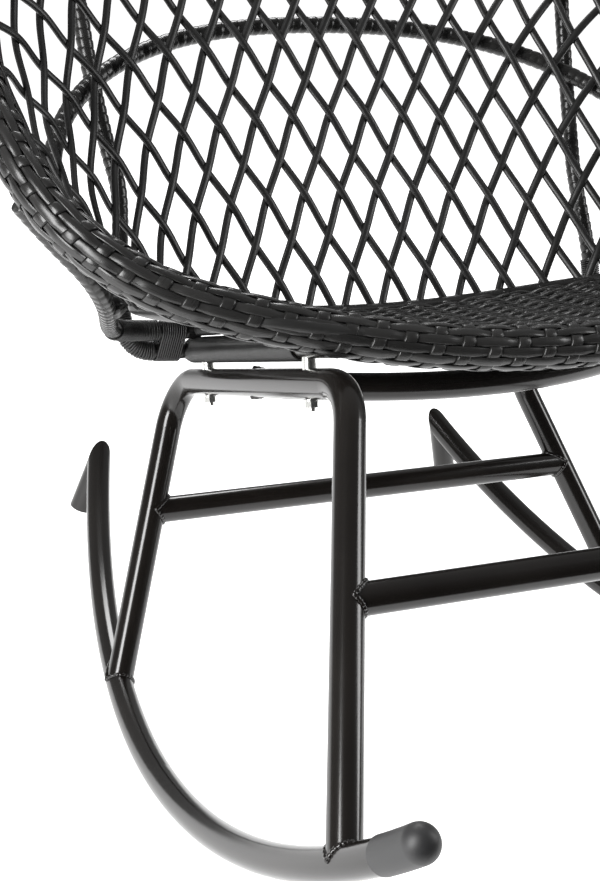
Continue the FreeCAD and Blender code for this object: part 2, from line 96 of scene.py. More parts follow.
# %% Camera
CAMERA_PLACE = np.array([-0.7683, -1.2351, 0.599])
CAMERA_TILT = math.radians(77.4)
CAMERA_TURN = math.radians(-25.3)
CAMERA_LENS = 45.07
SENSOR_HEIGHT = 24.0
camera_data = bpy.data.cameras.new("studio_camera")
camera_data.sensor_fit = "VERTICAL"
camera_data.sensor_height = SENSOR_HEIGHT
camera_data.lens = CAMERA_LENS
camera = bpy.data.objects.new("studio_camera", camera_data)
level_turn = Euler((CAMERA_TILT, 0, CAMERA_TURN))
camera.location = standing(CAMERA_PLACE)
camera.rotation_euler = (Matrix(lean_turn) @ level_turn.to_matrix()).to_euler()
bpy.context.scene.collection.objects.link(camera)
bpy.context.scene.camera = camera
print("camera lens", camera_data.lens, "mm")

# %% [markdown]
# A dark, glossy object is drawn by what it reflects. The room is bright behind the chair and dark
# on the camera's side, so the fronts of the tubes stay nearly black. A tall soft lamp on the left
# draws the long pale bands on the tubes and the small highlights of the weave.
# Weaker ones on the right and behind open the shadows.

# %% Light
WHITE = (1.0, 1.0, 1.0, 1.0)
ROOM_BRIGHT_WAY = (0.42, 0.88, 0.25)
ROOM_BLEND = 0.5
ROOM_DARK = 0.06
ROOM_BRIGHT = 0.32


def soft_lamp(name, place, aim, size, power):
    """A rectangular lamp; place, aim and size are in metres, power is in watts."""
    lamp_data = bpy.data.lights.new(name, "AREA")
    lamp_data.shape = "RECTANGLE"
    lamp_data.size = size[0]
    lamp_data.size_y = size[1]
    lamp_data.energy = power
    lamp = bpy.data.objects.new(name, lamp_data)
    lamp.location = place
    direction = Vector(aim) - lamp.location
    lamp.rotation_euler = direction.to_track_quat("-Z", "Y").to_euler()
    bpy.context.scene.collection.objects.link(lamp)


world = bpy.data.worlds.new("studio_room")
world.use_nodes = True
room_tree = world.node_tree
room = room_tree.nodes["Background"]
room.inputs["Color"].default_value = WHITE
room_side = room_tree.nodes.new("ShaderNodeVectorMath")
room_side.operation = "DOT_PRODUCT"
room_side.inputs[1].default_value = ROOM_BRIGHT_WAY
room_light = room_tree.nodes.new("ShaderNodeMapRange")
for socket, value in (
        ("From Min", -ROOM_BLEND), ("From Max", ROOM_BLEND),
        ("To Min", ROOM_DARK), ("To Max", ROOM_BRIGHT)):
    room_light.inputs[socket].default_value = value
room_way = room_tree.nodes.new("ShaderNodeTexCoord").outputs["Generated"]
room_tree.links.new(room_way, room_side.inputs[0])
room_tree.links.new(room_side.outputs["Value"], room_light.inputs["Value"])
room_tree.links.new(room_light.outputs["Result"], room.inputs["Strength"])
bpy.context.scene.world = world
bpy.context.scene.view_settings.view_transform = "Standard"
soft_lamp("left_lamp", place=(-2.0, -0.8, 1.2), aim=(0, 0, 0.45), size=(0.8, 1.8), power=85)
soft_lamp("right_lamp", place=(1.9, -0.8, 1.3), aim=(0, 0.1, 0.4), size=(0.6, 1.4), power=22)
soft_lamp("back_lamp", place=(0.4, 1.9, 2.3), aim=(0, 0.1, 0.4), size=(1.2, 0.8), power=35)
print("lights", [light.name for light in bpy.data.lights])

# %% [markdown]
# A finish is a small network of nodes round one Principled shader. Noise breaks up the colour
# and the roughness, and a bump gives the grain. Strands carry a map whose first number
# runs along the strand in metres and whose second one counts the strands,
# so that each strand gets its own tone and its grain runs lengthwise.

# %% Finishes
RAMP_START = 0.3
RAMP_END = 0.7
EVENLY = (1.0, 1.0, 1.0)
RATTAN_SPECULAR = 0.45
STRAND_TONE_STRETCH = (6.0, 0.9, 1.0)
STRAND_GRAIN_STRETCH = (30.0, 9.0, 1.0)
STRAND_BUMP_HEIGHT = 0.4 * mm
DRIFT_SCALE = 9.0


def new_finish(name, roughness, specular=0.5):
    finish = bpy.data.materials.new(name)
    finish.use_nodes = True
    shader = finish.node_tree.nodes["Principled BSDF"]
    shader.inputs["Roughness"].default_value = roughness
    shader.inputs["Specular IOR Level"].default_value = specular
    return finish, finish.node_tree, shader


def add_noise(tree, coordinates, stretch, scale, detail=3.0):
    mapping = tree.nodes.new("ShaderNodeMapping")
    mapping.inputs["Scale"].default_value = stretch
    noise = tree.nodes.new("ShaderNodeTexNoise")
    noise.inputs["Scale"].default_value = scale
    noise.inputs["Detail"].default_value = detail
    tree.links.new(coordinates, mapping.inputs["Vector"])
    tree.links.new(mapping.outputs["Vector"], noise.inputs["Vector"])
    return noise.outputs["Fac"]


def add_ramp(tree, value, low, high):
    ramp = tree.nodes.new("ShaderNodeValToRGB")
    ramp.color_ramp.elements[0].position = RAMP_START
    ramp.color_ramp.elements[1].position = RAMP_END
    ramp.color_ramp.elements[0].color = (*low, 1.0)
    ramp.color_ramp.elements[1].color = (*high, 1.0)
    tree.links.new(value, ramp.inputs["Fac"])
    return ramp.outputs["Color"]


def add_range(tree, value, low, high):
    spread_node = tree.nodes.new("ShaderNodeMapRange")
    spread_node.inputs["To Min"].default_value = low
    spread_node.inputs["To Max"].default_value = high
    tree.links.new(value, spread_node.inputs["Value"])
    return spread_node.outputs["Result"]


def add_bump(tree, shader, height, strength, distance):
    bump = tree.nodes.new("ShaderNodeBump")
    bump.inputs["Strength"].default_value = strength
    bump.inputs["Distance"].default_value = distance
    tree.links.new(height, bump.inputs["Height"])
    tree.links.new(bump.outputs["Normal"], shader.inputs["Normal"])


def rattan_finish(name, low, high, roughness):
    """Charcoal strand with a soft sheen and fine lines along its length."""
    finish, tree, shader = new_finish(name, roughness, RATTAN_SPECULAR)
    strand_map = tree.nodes.new("ShaderNodeTexCoord").outputs["UV"]
    tone = add_noise(tree, strand_map, STRAND_TONE_STRETCH, 1.0, detail=1.0)
    grain = add_noise(tree, strand_map, STRAND_GRAIN_STRETCH, 1.0)
    worn = add_range(tree, grain, roughness - 0.08, roughness + 0.12)
    tree.links.new(add_ramp(tree, tone, low, high), shader.inputs["Base Color"])
    tree.links.new(worn, shader.inputs["Roughness"])
    add_bump(tree, shader, grain, 0.25, STRAND_BUMP_HEIGHT)
    return finish


def solid_finish(name, low, high, roughness, grain_scale, bump_height, metallic=0.0, glow=0.0):
    """Paint, moulding or plate: colour and roughness drift slowly, with a fine surface grain."""
    finish, tree, shader = new_finish(name, roughness)
    shader.inputs["Metallic"].default_value = metallic
    shader.inputs["Emission Color"].default_value = WHITE
    shader.inputs["Emission Strength"].default_value = glow
    place = tree.nodes.new("ShaderNodeTexCoord").outputs["Object"]
    drift = add_noise(tree, place, EVENLY, DRIFT_SCALE)
    grain = add_noise(tree, place, EVENLY, grain_scale)
    worn = add_range(tree, drift, roughness - 0.05, roughness + 0.07)
    tree.links.new(add_ramp(tree, drift, low, high), shader.inputs["Base Color"])
    tree.links.new(worn, shader.inputs["Roughness"])
    add_bump(tree, shader, grain, 0.2, bump_height)
    return finish


strip_finish = rattan_finish(
    "charcoal_flat_rattan", (0.010, 0.0098, 0.0095), (0.021, 0.0205, 0.020), 0.27)
strand_finish = rattan_finish(
    "charcoal_round_rattan", (0.009, 0.0089, 0.0087), (0.018, 0.0177, 0.0174), 0.38)
# Near-black sleeve colour for inside the rim weave: painted shade for the shadow under and between
# the strips.
shade_sleeve_finish = solid_finish(
    "painted_shade_sleeve", (0.003, 0.003, 0.003), (0.006, 0.006, 0.006), 0.8, 300.0, 0.3 * mm)
paint_finish = solid_finish(
    "brown_black_paint", (0.0042, 0.0034, 0.0029), (0.0080, 0.0066, 0.0056), 0.17,
    700.0, 0.05 * mm)
cap_finish = solid_finish(
    "grey_moulding", (0.014, 0.014, 0.0145), (0.024, 0.024, 0.025), 0.5, 900.0, 0.1 * mm)
zinc_finish = solid_finish(
    "bright_zinc", (0.50, 0.50, 0.48), (0.72, 0.72, 0.70), 0.25,
    1500.0, 0.05 * mm, metallic=1.0)
floor_finish = solid_finish(
    "white_floor", (0.90, 0.90, 0.90), (0.94, 0.94, 0.94), 0.7, 200.0, 0.1 * mm, glow=0.9)
print("finishes", [finish.name for finish in bpy.data.materials])

# %% [markdown]
# The floor is one wide plane under the runners that glows a little, as a lit studio table does.
# It ends just in front of what the camera sees, so it isn't mirrored in the fronts of the tubes.
# It isn't part of the chair.

# %% Floor
FLOOR_SIDE = 12.0
FLOOR_FRONT = -0.75
floor_mesh = bpy.data.meshes.new("studio_floor")
floor_mesh.from_pydata(
    [(-FLOOR_SIDE, FLOOR_FRONT, 0), (FLOOR_SIDE, FLOOR_FRONT, 0),
     (FLOOR_SIDE, 2 * FLOOR_SIDE, 0), (-FLOOR_SIDE, 2 * FLOOR_SIDE, 0)], [], [(0, 1, 2, 3)])
floor = bpy.data.objects.new("studio_floor", floor_mesh)
floor.data.materials.append(floor_finish)
bpy.context.scene.collection.objects.link(floor)
print("floor", floor.name)

# %% [markdown]
# Every woven piece is a grid of points wrapped into a long tube or band: rows go along the strand,
# columns go round its section. Blender's curves with a bevel could make round strands,
# but flat strips need a section that changes, so one grid helper makes them all.

# %% Grid helpers
NEARLY_UPRIGHT = 0.1
WEAVE_SHARPNESS = 1.6


def along(path):
    """Distance along a line of points."""
    steps = np.linalg.norm(np.diff(path, axis=0), axis=1)
    return np.concatenate([[0.0], np.cumsum(steps)])


def points_at(path, distance):
    """Points at distances along a line of points."""
    marks = along(path)
    return np.stack([np.interp(distance, marks, path[:, axis]) for axis in range(3)], axis=-1)


def unit(vectors):
    return vectors / np.linalg.norm(vectors, axis=-1, keepdims=True)


def full_turn(count):
    """Angles that share out one full turn."""
    return np.arange(count) * 2 * math.pi / count


def path_frames(path, closed=False):
    """Two directions square to a path, which turn as little as possible along it."""
    if closed:
        tangent = unit(np.roll(path, -1, axis=0) - np.roll(path, 1, axis=0))
    else:
        tangent = unit(np.gradient(path, axis=0))
    first = np.cross(tangent[0], Z_WAY)
    if np.linalg.norm(first) < NEARLY_UPRIGHT:
        first = np.cross(tangent[0], Y_WAY)
    sides = [first / np.linalg.norm(first)]
    for here in tangent[1:]:
        flat = sides[-1] - here * np.dot(here, sides[-1])
        sides.append(flat / np.linalg.norm(flat))
    side = np.array(sides)
    return side, np.cross(tangent, side)


def round_grid(path, radius, sides, closed=False):
    """A round strand along a path. radius is one number or one for each point and side."""
    side, other = path_frames(path, closed)
    turn = full_turn(sides)[None, :, None]
    reach = np.broadcast_to(np.asarray(radius, float), (len(path), sides))[..., None]
    around = np.cos(turn) * side[:, None, :] + np.sin(turn) * other[:, None, :]
    return path[:, None, :] + around * reach


def grid_faces(rows, columns, start, closed):
    """Quads between neighbouring rows; the ends of an open strand are closed with one face each."""
    count = rows if closed else rows - 1
    row = np.arange(count)[:, None] * columns
    column = np.arange(columns)[None, :]
    after = (np.arange(count)[:, None] + 1) % rows * columns
    beside = (column + 1) % columns
    corners = [row + column, row + beside, after + beside, after + column]
    quads = np.stack(np.broadcast_arrays(*corners), axis=-1).reshape(-1, 4) + start
    faces = quads.tolist()
    if not closed:
        faces.append(list(range(start + columns - 1, start - 1, -1)))
        last = start + (rows - 1) * columns
        faces.append(list(range(last, last + columns)))
    return faces


def grid_piece(name, grids, finish, replaced=(), closed=False):
    """One object of many strands, each strand a grid of rows by columns."""
    points = []
    faces = []
    lengths = []
    marks = []
    start = 0
    for number, grid in enumerate(grids):
        rows, columns = grid.shape[:2]
        points.append(standing(grid.reshape(-1, 3)))
        faces.extend(grid_faces(rows, columns, start, closed))
        distance = along(grid.mean(axis=1))
        lengths.append(np.repeat(distance, columns))
        marks.append(np.tile(number + np.arange(columns) / columns, rows))
        start += rows * columns
    mesh = bpy.data.meshes.new(name)
    mesh.from_pydata(np.concatenate(points).tolist(), [], faces)
    shell = bmesh.new()
    shell.from_mesh(mesh)
    bmesh.ops.recalc_face_normals(shell, faces=shell.faces)
    shell.to_mesh(mesh)
    shell.free()
    strand_map = np.stack([np.concatenate(lengths), np.concatenate(marks)], axis=1)
    corner = np.zeros(len(mesh.loops), int)
    mesh.loops.foreach_get("vertex_index", corner)
    layer = mesh.uv_layers.new(name="strand_map")
    layer.data.foreach_set("uv", strand_map[corner].ravel())
    mesh.polygons.foreach_set("use_smooth", np.ones(len(mesh.polygons), bool))
    mesh.materials.append(finish)
    made = bpy.data.objects.new(name, mesh)
    bpy.context.scene.collection.objects.link(made)
    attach(made, "root")
    if replaced:
        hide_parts(*replaced)
    print(name, len(grids), "strand(s)", len(mesh.vertices), "points")


def weave_wave(steps):
    """Height of a strand that goes over at even steps and under at odd ones, from 1 to -1."""
    wave = np.cos(math.pi * steps)
    return np.tanh(WEAVE_SHARPNESS * wave) / math.tanh(WEAVE_SHARPNESS)


# %% [markdown]
# The bowl's lines are worked out as on the construction model: the rim is a flattened ring
# in a sloping plane, the seat's edge is a rounded outline on a shallow dish,
# and the wall runs straight from one to the other with a small bulge.

# %% Lines of the bowl
RIM_FRONT = np.array([0.0, -130.0, 381.5]) * mm
RIM_SLOPE = math.radians(45.0)
RIM_BACK_R = 424.0 * mm
RIM_BACK_CENTRE = 300.0 * mm
RIM_CORNER_R = 185.0 * mm
RIM_FRONT_R = 760.0 * mm
BACK_POINTS = 400
CORNER_POINTS = 200
FRONT_POINTS = 200
SEAT_LOW = np.array([113.0, 364.0]) * mm
SEAT_DISH_R = 1180.0 * mm
SEAT_HALF_WIDTH = 300.0 * mm
SEAT_MIDDLE = 40.0 * mm
SEAT_TO_BACK = 170.0 * mm
SEAT_TO_FRONT = 166.0 * mm
SEAT_SQUARENESS = (2.8, 6.0)
SEAT_POINTS = 1441
slope_way = np.array([0.0, math.cos(RIM_SLOPE), math.sin(RIM_SLOPE)])
rim_normal = np.array([0.0, -math.sin(RIM_SLOPE), math.cos(RIM_SLOPE)])


def on_rim_plane(x, up):
    return RIM_FRONT + np.outer(x, X_WAY) + np.outer(up, slope_way)


def ring_arc(middle_x, middle_up, radius, start, end, count):
    turn = np.linspace(start, end, count)
    return on_rim_plane(middle_x + radius * np.sin(turn), middle_up + radius * np.cos(turn))


front_gap = RIM_FRONT_R - RIM_CORNER_R
back_gap = RIM_BACK_R - RIM_CORNER_R
between = RIM_FRONT_R - RIM_BACK_CENTRE
corner_down = (front_gap ** 2 - back_gap ** 2 - between ** 2) / (2 * between)
corner_up = RIM_BACK_CENTRE - corner_down
corner_x = math.sqrt(back_gap ** 2 - corner_down ** 2)
back_end = math.atan2(corner_x, -corner_down)
front_start = math.pi - math.atan2(corner_x, RIM_FRONT_R - corner_up)
half_rim = np.concatenate([
    ring_arc(0, RIM_BACK_CENTRE, RIM_BACK_R, 0, back_end, BACK_POINTS),
    ring_arc(corner_x, corner_up, RIM_CORNER_R, back_end, front_start, CORNER_POINTS)[1:],
    ring_arc(0, RIM_FRONT_R, RIM_FRONT_R, front_start, math.pi, FRONT_POINTS)[1:]])
half_rim_length = along(half_rim)[-1]
rim_length = 2 * half_rim_length


def dish_height(x, y):
    return SEAT_LOW[1] + (x * x + (y - SEAT_LOW[0]) ** 2) / (2 * SEAT_DISH_R)


def seat_outline(turn):
    """The seat's edge, at an angle from the back."""
    back = np.cos(turn) > 0
    bend = np.where(back, 2 / SEAT_SQUARENESS[0], 2 / SEAT_SQUARENESS[1])
    depth = np.where(back, SEAT_TO_BACK, SEAT_TO_FRONT)
    x = SEAT_HALF_WIDTH * np.sign(np.sin(turn)) * np.abs(np.sin(turn)) ** bend
    y = SEAT_MIDDLE + depth * np.sign(np.cos(turn)) * np.abs(np.cos(turn)) ** bend
    return np.stack([x, y, dish_height(x, y)], axis=-1)


half_seat = seat_outline(np.linspace(0, math.pi, SEAT_POINTS))


def run_along(half_outline, distance):
    """Points at distances along half an outline; a minus sign takes the mirrored half."""
    found = points_at(half_outline, np.abs(distance))
    found[..., 0] *= np.sign(distance)
    return found


print("rim length", round(rim_length, 3), "m")

# %% [markdown]
# The wall is addressed by two numbers: place, from -1 on the left through 0 at the back to 1
# on the right, and share, from 0 at the seat to 1 at the rim. A strand is then
# just a straight line in these two numbers, and the wall bends it.

# %% Wall of the bowl
SEAT_RUN = 480.0 * mm
RIM_RUN = 850.0 * mm
RIM_EVEN = 0.7
WALL_BULGE = 26.0 * mm
BACK_ROUNDNESS = 0.25
PLACE_NUDGE = 0.01


def wall_ends(place):
    low = run_along(half_seat, SEAT_RUN * place)
    high = run_along(half_rim, RIM_RUN * (RIM_EVEN * place + (1 - RIM_EVEN) * place ** 3))
    return low, high


tall = float(np.linalg.norm(np.subtract(*wall_ends(np.array(0.0)))))


def wall(place, share, out=0.0):
    """Points of the wall, moved out of its surface."""
    place, share, out = np.broadcast_arrays(np.asarray(place, float), share, out)
    low, high = wall_ends(place)
    low_before, high_before = wall_ends(place - PLACE_NUDGE)
    low_after, high_after = wall_ends(place + PLACE_NUDGE)
    rise = high - low
    part = share[..., None]
    across = (low_after - low_before) * (1 - part) + (high_after - high_before) * part
    normal = unit(np.cross(rise, across))
    roundness = BACK_ROUNDNESS + (1 - BACK_ROUNDNESS) * np.sin(math.pi / 2 * place) ** 2
    swell = WALL_BULGE * roundness * np.linalg.norm(rise, axis=-1) / tall * 4 * share * (1 - share)
    return low + rise * part + normal * (swell + out)[..., None]


print("wall height at the back", round(tall, 3), "m")

# %% [markdown]
# The rim is a steel ring inside a basket weave: flat strips run along it, and one long strap winds
# round it and passes over and under them. The number of strips is odd,
# so the strap comes back to each strip on its other side, which is what makes the brick pattern.

# %% Rim weave
RIM_COVER_R = 17.1 * mm
RIM_STRIPS = 13
RIM_STRIP_FILL = 0.97
RIM_STRIP_POINTS = 1000
RIM_STRAP_TURNS = 104
RIM_STRAP_STEPS = 6
RIM_NUDGE = 0.5 * mm
STRIP_T = 1.6 * mm
STRAP_WIDTH = 11.0 * mm
WEAVE_LIFT = 0.8 * mm
SHADE_SLEEVE_POINTS = 400
SHADE_SLEEVE_SIDES = 24
STRIP_SECTION = np.array([
    (-1, 0.1), (-0.7, 0.8), (0, 1.0), (0.7, 0.8), (1, 0.1), (0.7, -0.8), (0, -1), (-0.7, -0.8)])
strap_pitch = rim_length / RIM_STRAP_TURNS
strip_turn = 2 * math.pi / RIM_STRIPS
strip_width = RIM_STRIP_FILL * strip_turn * RIM_COVER_R


def rim_line(distance):
    """Points of the rim, from the back round by the right, as often as the distance asks for."""
    return run_along(half_rim, (distance + half_rim_length) % rim_length - half_rim_length)


def rim_surface(distance, turn, radius):
    """Points round the rim: a turn of 0 is on its outside and a quarter turn is on its top."""
    tangent = unit(rim_line(distance + RIM_NUDGE) - rim_line(distance - RIM_NUDGE))
    outward = np.cross(tangent, rim_normal)
    around = np.cos(turn)[..., None] * outward + np.sin(turn)[..., None] * rim_normal
    return rim_line(distance) + around * radius[..., None]


def woven_radius(lift):
    """Radius of each point of a strip's section, for each lift along the strip."""
    return RIM_COVER_R + lift[:, None] + STRIP_SECTION[None, :, 1] * STRIP_T / 2


def rim_strip(number):
    distance = np.linspace(0, rim_length, RIM_STRIP_POINTS, endpoint=False)
    lift = -WEAVE_LIFT * weave_wave(number + distance / strap_pitch - number / RIM_STRIPS)
    across = STRIP_SECTION[:, 0] * strip_width / 2 / RIM_COVER_R
    turn = np.broadcast_to(number * strip_turn + across[None, :], (len(distance), len(across)))
    return rim_surface(np.broadcast_to(distance[:, None], turn.shape), turn, woven_radius(lift))


def rim_strap():
    count = RIM_STRAP_TURNS * RIM_STRIPS * RIM_STRAP_STEPS
    turn = np.linspace(0, 2 * math.pi * RIM_STRAP_TURNS, count, endpoint=False)
    lift = WEAVE_LIFT * weave_wave(turn / strip_turn)
    middle = turn / (2 * math.pi) * strap_pitch
    distance = middle[:, None] + STRIP_SECTION[None, :, 0] * STRAP_WIDTH / 2
    return rim_surface(distance, np.broadcast_to(turn[:, None], distance.shape), woven_radius(lift))


grid_piece(
    "rim_strips", [rim_strip(number) for number in range(RIM_STRIPS)], strip_finish,
    ["rim_weave"], closed=True)
grid_piece("rim_strap", [rim_strap()], strip_finish, closed=True)
# Under the strips runs a near-black sleeve: painted shade for the dark inside of the weave that
# shows through the gaps between the strips.
shade_sleeve_path = run_along(
    half_rim, np.linspace(-half_rim_length, half_rim_length, SHADE_SLEEVE_POINTS, endpoint=False))
shade_sleeve_r = RIM_COVER_R - WEAVE_LIFT - STRIP_T
shade_sleeve = round_grid(shade_sleeve_path, shade_sleeve_r, SHADE_SLEEVE_SIDES, closed=True)
grid_piece("rim_shade_sleeve", [shade_sleeve], shade_sleeve_finish, closed=True)

# %% [markdown]
# The wall is a diamond lattice. Strands lean both ways and go over and under each other in turn,
# so each one weaves in and out by about half its thickness. The strands are pulled tight
# and lie flat, so their section is an oval. The step count along a strand says which strand
# of the other family it meets, and the wave of that count is its in-and-out.

# %% Lattice strands
CORD_R = 4.1 * mm
CORD_HALF_T = 2.6 * mm
CORD_POINTS = 90
CORD_SIDES = 12
CORDS_EACH_WAY = 24
CORD_PITCH = 37.5 * mm
LEAN_PITCHES = 7.25
LATTICE_LIFT = 1.9 * mm
MEETING_ROUNDS = 5
NORMAL_STEP = 1.0 * mm
place_pitch = CORD_PITCH / SEAT_RUN
middle_cord = (CORDS_EACH_WAY - 1) / 2


def lean(place):
    """How far a strand leans along the wall between the seat and the rim."""
    low, high = wall_ends(np.asarray(place, float))
    return LEAN_PITCHES * place_pitch * np.linalg.norm(high - low, axis=-1) / tall


def oval_strand(path, normal, half_width, half_thickness):
    """A strand with an oval section that lies flat on the surface with this normal."""
    across = unit(np.cross(np.gradient(path, axis=0), normal))
    turn = full_turn(CORD_SIDES)[None, :, None]
    flat = half_width * np.cos(turn) * across[:, None, :]
    return path[:, None, :] + flat + half_thickness * np.sin(turn) * normal[:, None, :]


def lattice_strand(number, way):
    place = place_pitch * (number - middle_cord)
    share = np.linspace(0.0, 1.0, CORD_POINTS)
    here = place + way * lean(place) * (share - 0.5)
    other = here
    for _ in range(MEETING_ROUNDS):
        other = here + way * lean(other) * (share - 0.5)
    met = other / place_pitch + middle_cord
    lift = way * LATTICE_LIFT * np.cos(math.pi * (number + met))
    path = wall(here, share, lift)
    normal = unit(wall(here, share, lift + NORMAL_STEP) - path)
    return oval_strand(path, normal, CORD_R, CORD_HALF_T)


lattice_nodes = [
    sector + "_wall_" + layer + "_cords"
    for sector in ("left", "back_left", "back_right", "right") for layer in ("inner", "outer")]
strands = [lattice_strand(number, way) for way in (1, -1) for number in range(CORDS_EACH_WAY)]
grid_piece("wall_lattice", strands, strand_finish, lattice_nodes)

# %% [markdown]
# The seat is a closer weave on the same dish: narrow strips across the chair, wider straps
# from front to back. Each strip ends at the seat's outline, where an edge cord
# covers the cut ends.

# %% Seat weave
SEAT_STRIP_PITCH = 8.6 * mm
SEAT_STRIP_FILL = 1.04
SEAT_STRIP_POINTS = 160
SEAT_STRAP_PITCH = 36.0 * mm
SEAT_STRAP_WIDTH = 13.0 * mm
SEAT_STRAP_POINTS = 240
SEAT_LIFT = 1.9 * mm
SEAT_STRIP_T = 4.2 * mm
SEAT_FRONT_MARGIN = 6.0 * mm
SEAT_BACK_MARGIN = 4.0 * mm
EDGE_CORD_R = 5.5 * mm
EDGE_POINTS = 720
EDGE_SIDES = 12


def round_off(share, bend):
    """The other number of a rounded outline, when one of them is a share of its half width."""
    return (1 - min(abs(share), 1.0) ** bend) ** (1 / bend)


def reach_across(y):
    back = y > SEAT_MIDDLE
    depth = SEAT_TO_BACK if back else SEAT_TO_FRONT
    bend = SEAT_SQUARENESS[0 if back else 1]
    return SEAT_HALF_WIDTH * round_off((y - SEAT_MIDDLE) / depth, bend)


def reach_lengthwise(x):
    share = x / SEAT_HALF_WIDTH
    front = SEAT_MIDDLE - SEAT_TO_FRONT * round_off(share, SEAT_SQUARENESS[1])
    return front, SEAT_MIDDLE + SEAT_TO_BACK * round_off(share, SEAT_SQUARENESS[0])


def seat_band(x, y, lift, width, across):
    """A flat band on the dish; across points over its width."""
    path = np.stack([x, y, dish_height(x, y) + lift], axis=-1)
    section = STRIP_SECTION * (width / 2, SEAT_STRIP_T / 2)
    return path[:, None, :] + section[None, :, :1] * across + section[None, :, 1:] * Z_WAY


seat_grids = []
front_y = SEAT_MIDDLE - SEAT_TO_FRONT
back_y = SEAT_MIDDLE + SEAT_TO_BACK
strip_places = np.arange(
    front_y + SEAT_FRONT_MARGIN, back_y - SEAT_BACK_MARGIN, SEAT_STRIP_PITCH)
for number, y in enumerate(strip_places):
    x = np.linspace(-1, 1, SEAT_STRIP_POINTS) * reach_across(y)
    lift = SEAT_LIFT * weave_wave(x / SEAT_STRAP_PITCH + number)
    seat_grids.append(
        seat_band(x, np.full_like(x, y), lift, SEAT_STRIP_FILL * SEAT_STRIP_PITCH, Y_WAY))
strap_count = int(SEAT_HALF_WIDTH / SEAT_STRAP_PITCH)
for number in range(-strap_count, strap_count + 1):
    x = number * SEAT_STRAP_PITCH
    y = np.linspace(*reach_lengthwise(x), SEAT_STRAP_POINTS)
    steps = (y - front_y - SEAT_FRONT_MARGIN) / SEAT_STRIP_PITCH
    lift = -SEAT_LIFT * weave_wave(steps + number)
    seat_grids.append(seat_band(np.full_like(y, x), y, lift, SEAT_STRAP_WIDTH, X_WAY))
grid_piece("seat_strips", seat_grids, strip_finish, ["seat_weave"])
edge_path = seat_outline(np.linspace(-math.pi, math.pi, EDGE_POINTS, endpoint=False))
edge_cord = round_grid(edge_path, EDGE_CORD_R, EDGE_SIDES, closed=True)
grid_piece("seat_edge_cord", [edge_cord], strand_finish, closed=True)

# %% [markdown]
# A hoop half-way up and four ribs stiffen the bowl from outside. They are rods wrapped with
# a flat strap, so the radius rises and falls once for each turn of the wrap, along a spiral.
# The hoop comes first: it lies where a sloping plane meets the outside of the wall,
# and its height is found by halving, at each place along it.

# %% Wrapped hoop
HOOP_R = 8.5 * mm
HOOP_CENTRE = np.array([300.0, 621.0]) * mm
HOOP_SLOPE = 0.9
HOOP_END = 0.80
HOOP_POINTS = 240
HALVINGS = 40
WALL_SKIN = 8.4 * mm
RIB_CLEAR = 1.0 * mm
WRAP_PITCH = 9.0 * mm
WRAP_STEPS = 8
WRAP_SIDES = 18
WRAP_DEPTH = 1.0 * mm


def wrapped_bar(path, radius, pitch=WRAP_PITCH):
    """A rod with a strap wound round it: each turn of the strap overlaps the one before."""
    length = along(path)[-1]
    even = np.linspace(0, length, int(length / pitch * WRAP_STEPS))
    turn = np.arange(WRAP_SIDES) / WRAP_SIDES
    phase = (even[:, None] / pitch + turn[None, :]) % 1.0
    return round_grid(points_at(path, even), radius - WRAP_DEPTH * (1 - phase) ** 3, WRAP_SIDES)


def hoop_line():
    place = np.linspace(-HOOP_END, HOOP_END, HOOP_POINTS)
    low = np.zeros_like(place)
    high = np.ones_like(place)
    for _ in range(HALVINGS):
        share = (low + high) / 2
        here = wall(place, share, WALL_SKIN + HOOP_R + RIB_CLEAR)
        below = here[:, 2] - HOOP_CENTRE[1] < HOOP_SLOPE * (here[:, 1] - HOOP_CENTRE[0])
        low = np.where(below, share, low)
        high = np.where(below, high, share)
    return here


grid_piece(
    "wrapped_hoop", [wrapped_bar(hoop_line(), HOOP_R)], strip_finish, ["mid_hoop"])

# %% [markdown]
# The base is two leaning side frames. Their lines are needed here for the windings and the welds:
# a point of a side frame is given by a distance along the floor and a height in the leaning plane.

# %% Lines of the base
FRONT_CORNER = (-127.0 * mm, 388.0 * mm)
REAR_CORNER = (280.0 * mm, 317.0 * mm)
RAIL_LIFT = 30.0 * mm
MIRROR = (-1.0, 1.0, 1.0)
top_front = side_frame(*FRONT_CORNER)
top_rear = side_frame(*REAR_CORNER)
top_way = unit(top_rear - top_front)
rail_up = unit(Z_WAY - top_way * top_way[2])


def top_tube(y):
    share = (y - top_front[1]) / (top_rear[1] - top_front[1])
    return top_front + (top_rear - top_front) * share


def seat_rail(y):
    return top_tube(y) + rail_up * RAIL_LIFT


def both_sides(grids):
    """The left side's strands and their mirror image."""
    return list(grids) + [grid * MIRROR for grid in grids]


print("left rail", seat_rail(0.0).round(3))

# %% [markdown]
# The ribs start as two short feet, side by side, at the rear end of each seat rail,
# and then swing up outside the lattice to the rim. A smooth curve through a few points
# with given directions does this, as with the handles of a Bezier curve.

# %% Ribs
FRAME_R = 8.0 * mm
RAIL_REAR = 222.0 * mm
FOOT_WAY = unit(np.array([-1.0, 0.0, 0.06]))
FOOT_TILT = math.radians(30.0)
FOOT_LENGTH = 42.0 * mm
FOOT_SPACING = 24.0 * mm
BACK_RIB_PLACES = (0.48, 0.45)
BACK_RIB_SHARES = (0.3, 0.5, 0.75, 1.0)
SIDE_RIB_PLACES = (0.90, 0.95)
SIDE_RIB_SHARES = (0.5, 0.75, 1.0)
HOOP_NOTCH = 1.0 * mm
SHARE_NUDGE = 0.002
CURVE_STEPS = 40
foot_up = np.array([0.0, -math.sin(FOOT_TILT), math.cos(FOOT_TILT)])
foot_up = unit(foot_up - FOOT_WAY * np.dot(FOOT_WAY, foot_up))
foot_root = seat_rail(RAIL_REAR - FRAME_R)


